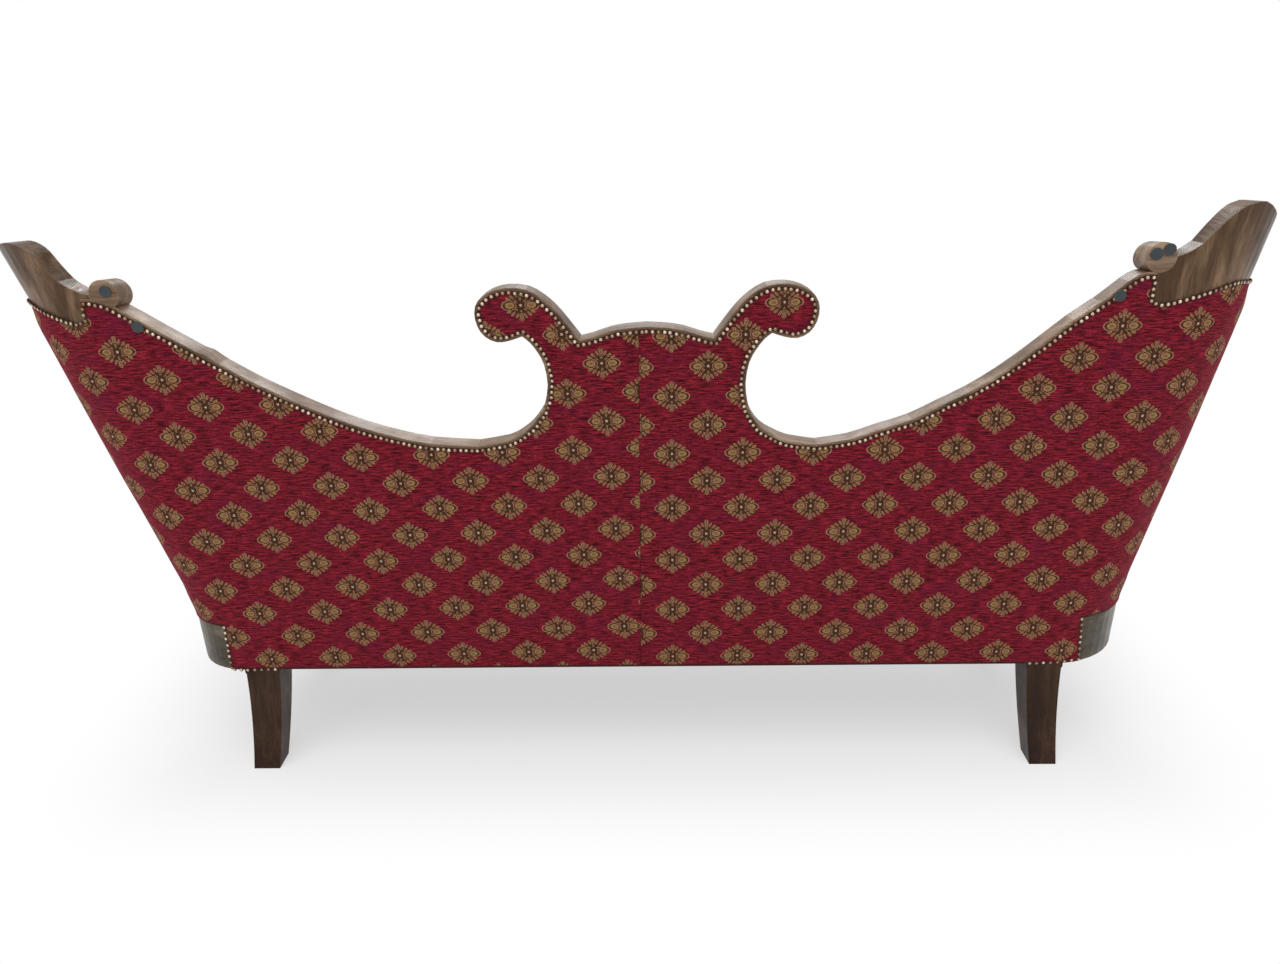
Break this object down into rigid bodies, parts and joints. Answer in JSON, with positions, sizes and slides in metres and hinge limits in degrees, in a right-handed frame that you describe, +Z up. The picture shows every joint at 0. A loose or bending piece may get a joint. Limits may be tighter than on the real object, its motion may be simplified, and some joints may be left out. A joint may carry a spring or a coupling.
{
  "type": "upholstered settee",
  "caption": "Upholstered settee with a shaped crest of two scrolls, swooping back, flared corner wings, sloping arms and sabre legs.",
  "frame": {"origin": "on the floor, under the middle of the box round the whole settee", "axes": "+X to the sitter's left, +Y to the back, +Z up"},
  "size_m": [2.1936, 0.6926, 1.0753],
  "materials": {
    "show_wood": "dark polished",
    "frame_wood": "plain sawn",
    "chenille": "crimson chenille with small gold rosettes",
    "felt": "felt",
    "spring_steel": "coppered wire",
    "jute": "woven jute",
    "dark_cloth": "thin dust cloth"
  },
  "bodies": {
    "root": {"arm_front_left": "show_wood", "arm_front_right": "show_wood", "arm_rail_left": "show_wood", "arm_rail_right": "show_wood", "arm_tack_rail_left": "frame_wood", "arm_tack_rail_right": "frame_wood", "back_muntin": "frame_wood", "back_post_left": "frame_wood", "back_post_right": "frame_wood", "back_tack_rail": "frame_wood", "bottom_cloth": "dark_cloth", "corner_block_front_left": "frame_wood", "corner_block_front_right": "frame_wood", "corner_block_rear_left": "frame_wood", "corner_block_rear_right": "frame_wood", "corner_post_left": "frame_wood", "corner_post_right": "frame_wood", "crest_center": "show_wood", "crest_roll_left": "show_wood", "crest_roll_right": "show_wood", "crest_side_left": "show_wood", "crest_side_right": "show_wood", "felt_pad_1": "felt", "felt_pad_2": "felt", "felt_pad_3": "felt", "felt_pad_4": "felt", "felt_pad_5": "felt", "inside_arm_pad_left": "chenille", "inside_arm_pad_right": "chenille", "inside_back_pad": "chenille", "leg_front_left": "show_wood", "leg_front_right": "show_wood", "leg_rear_left": "show_wood", "leg_rear_right": "show_wood", "outside_cover_left": "chenille", "outside_cover_right": "chenille", "seat_brace": "frame_wood", "seat_pad": "chenille", "seat_rail_back": "frame_wood", "seat_rail_front": "show_wood", "seat_rail_left": "show_wood", "seat_rail_right": "show_wood", "seat_spring_1_1": "spring_steel", "seat_spring_1_2": "spring_steel", "seat_spring_1_3": "spring_steel", "seat_spring_1_4": "spring_steel", "seat_spring_1_5": "spring_steel", "seat_spring_1_6": "spring_steel", "seat_spring_2_1": "spring_steel", "seat_spring_2_2": "spring_steel", "seat_spring_2_3": "spring_steel", "seat_spring_2_4": "spring_steel", "seat_spring_2_5": "spring_steel", "seat_spring_2_6": "spring_steel", "seat_webbing": "jute", "spring_canvas": "jute", "wing_left": "show_wood", "wing_right": "show_wood"}
  },
  "joints": []
}
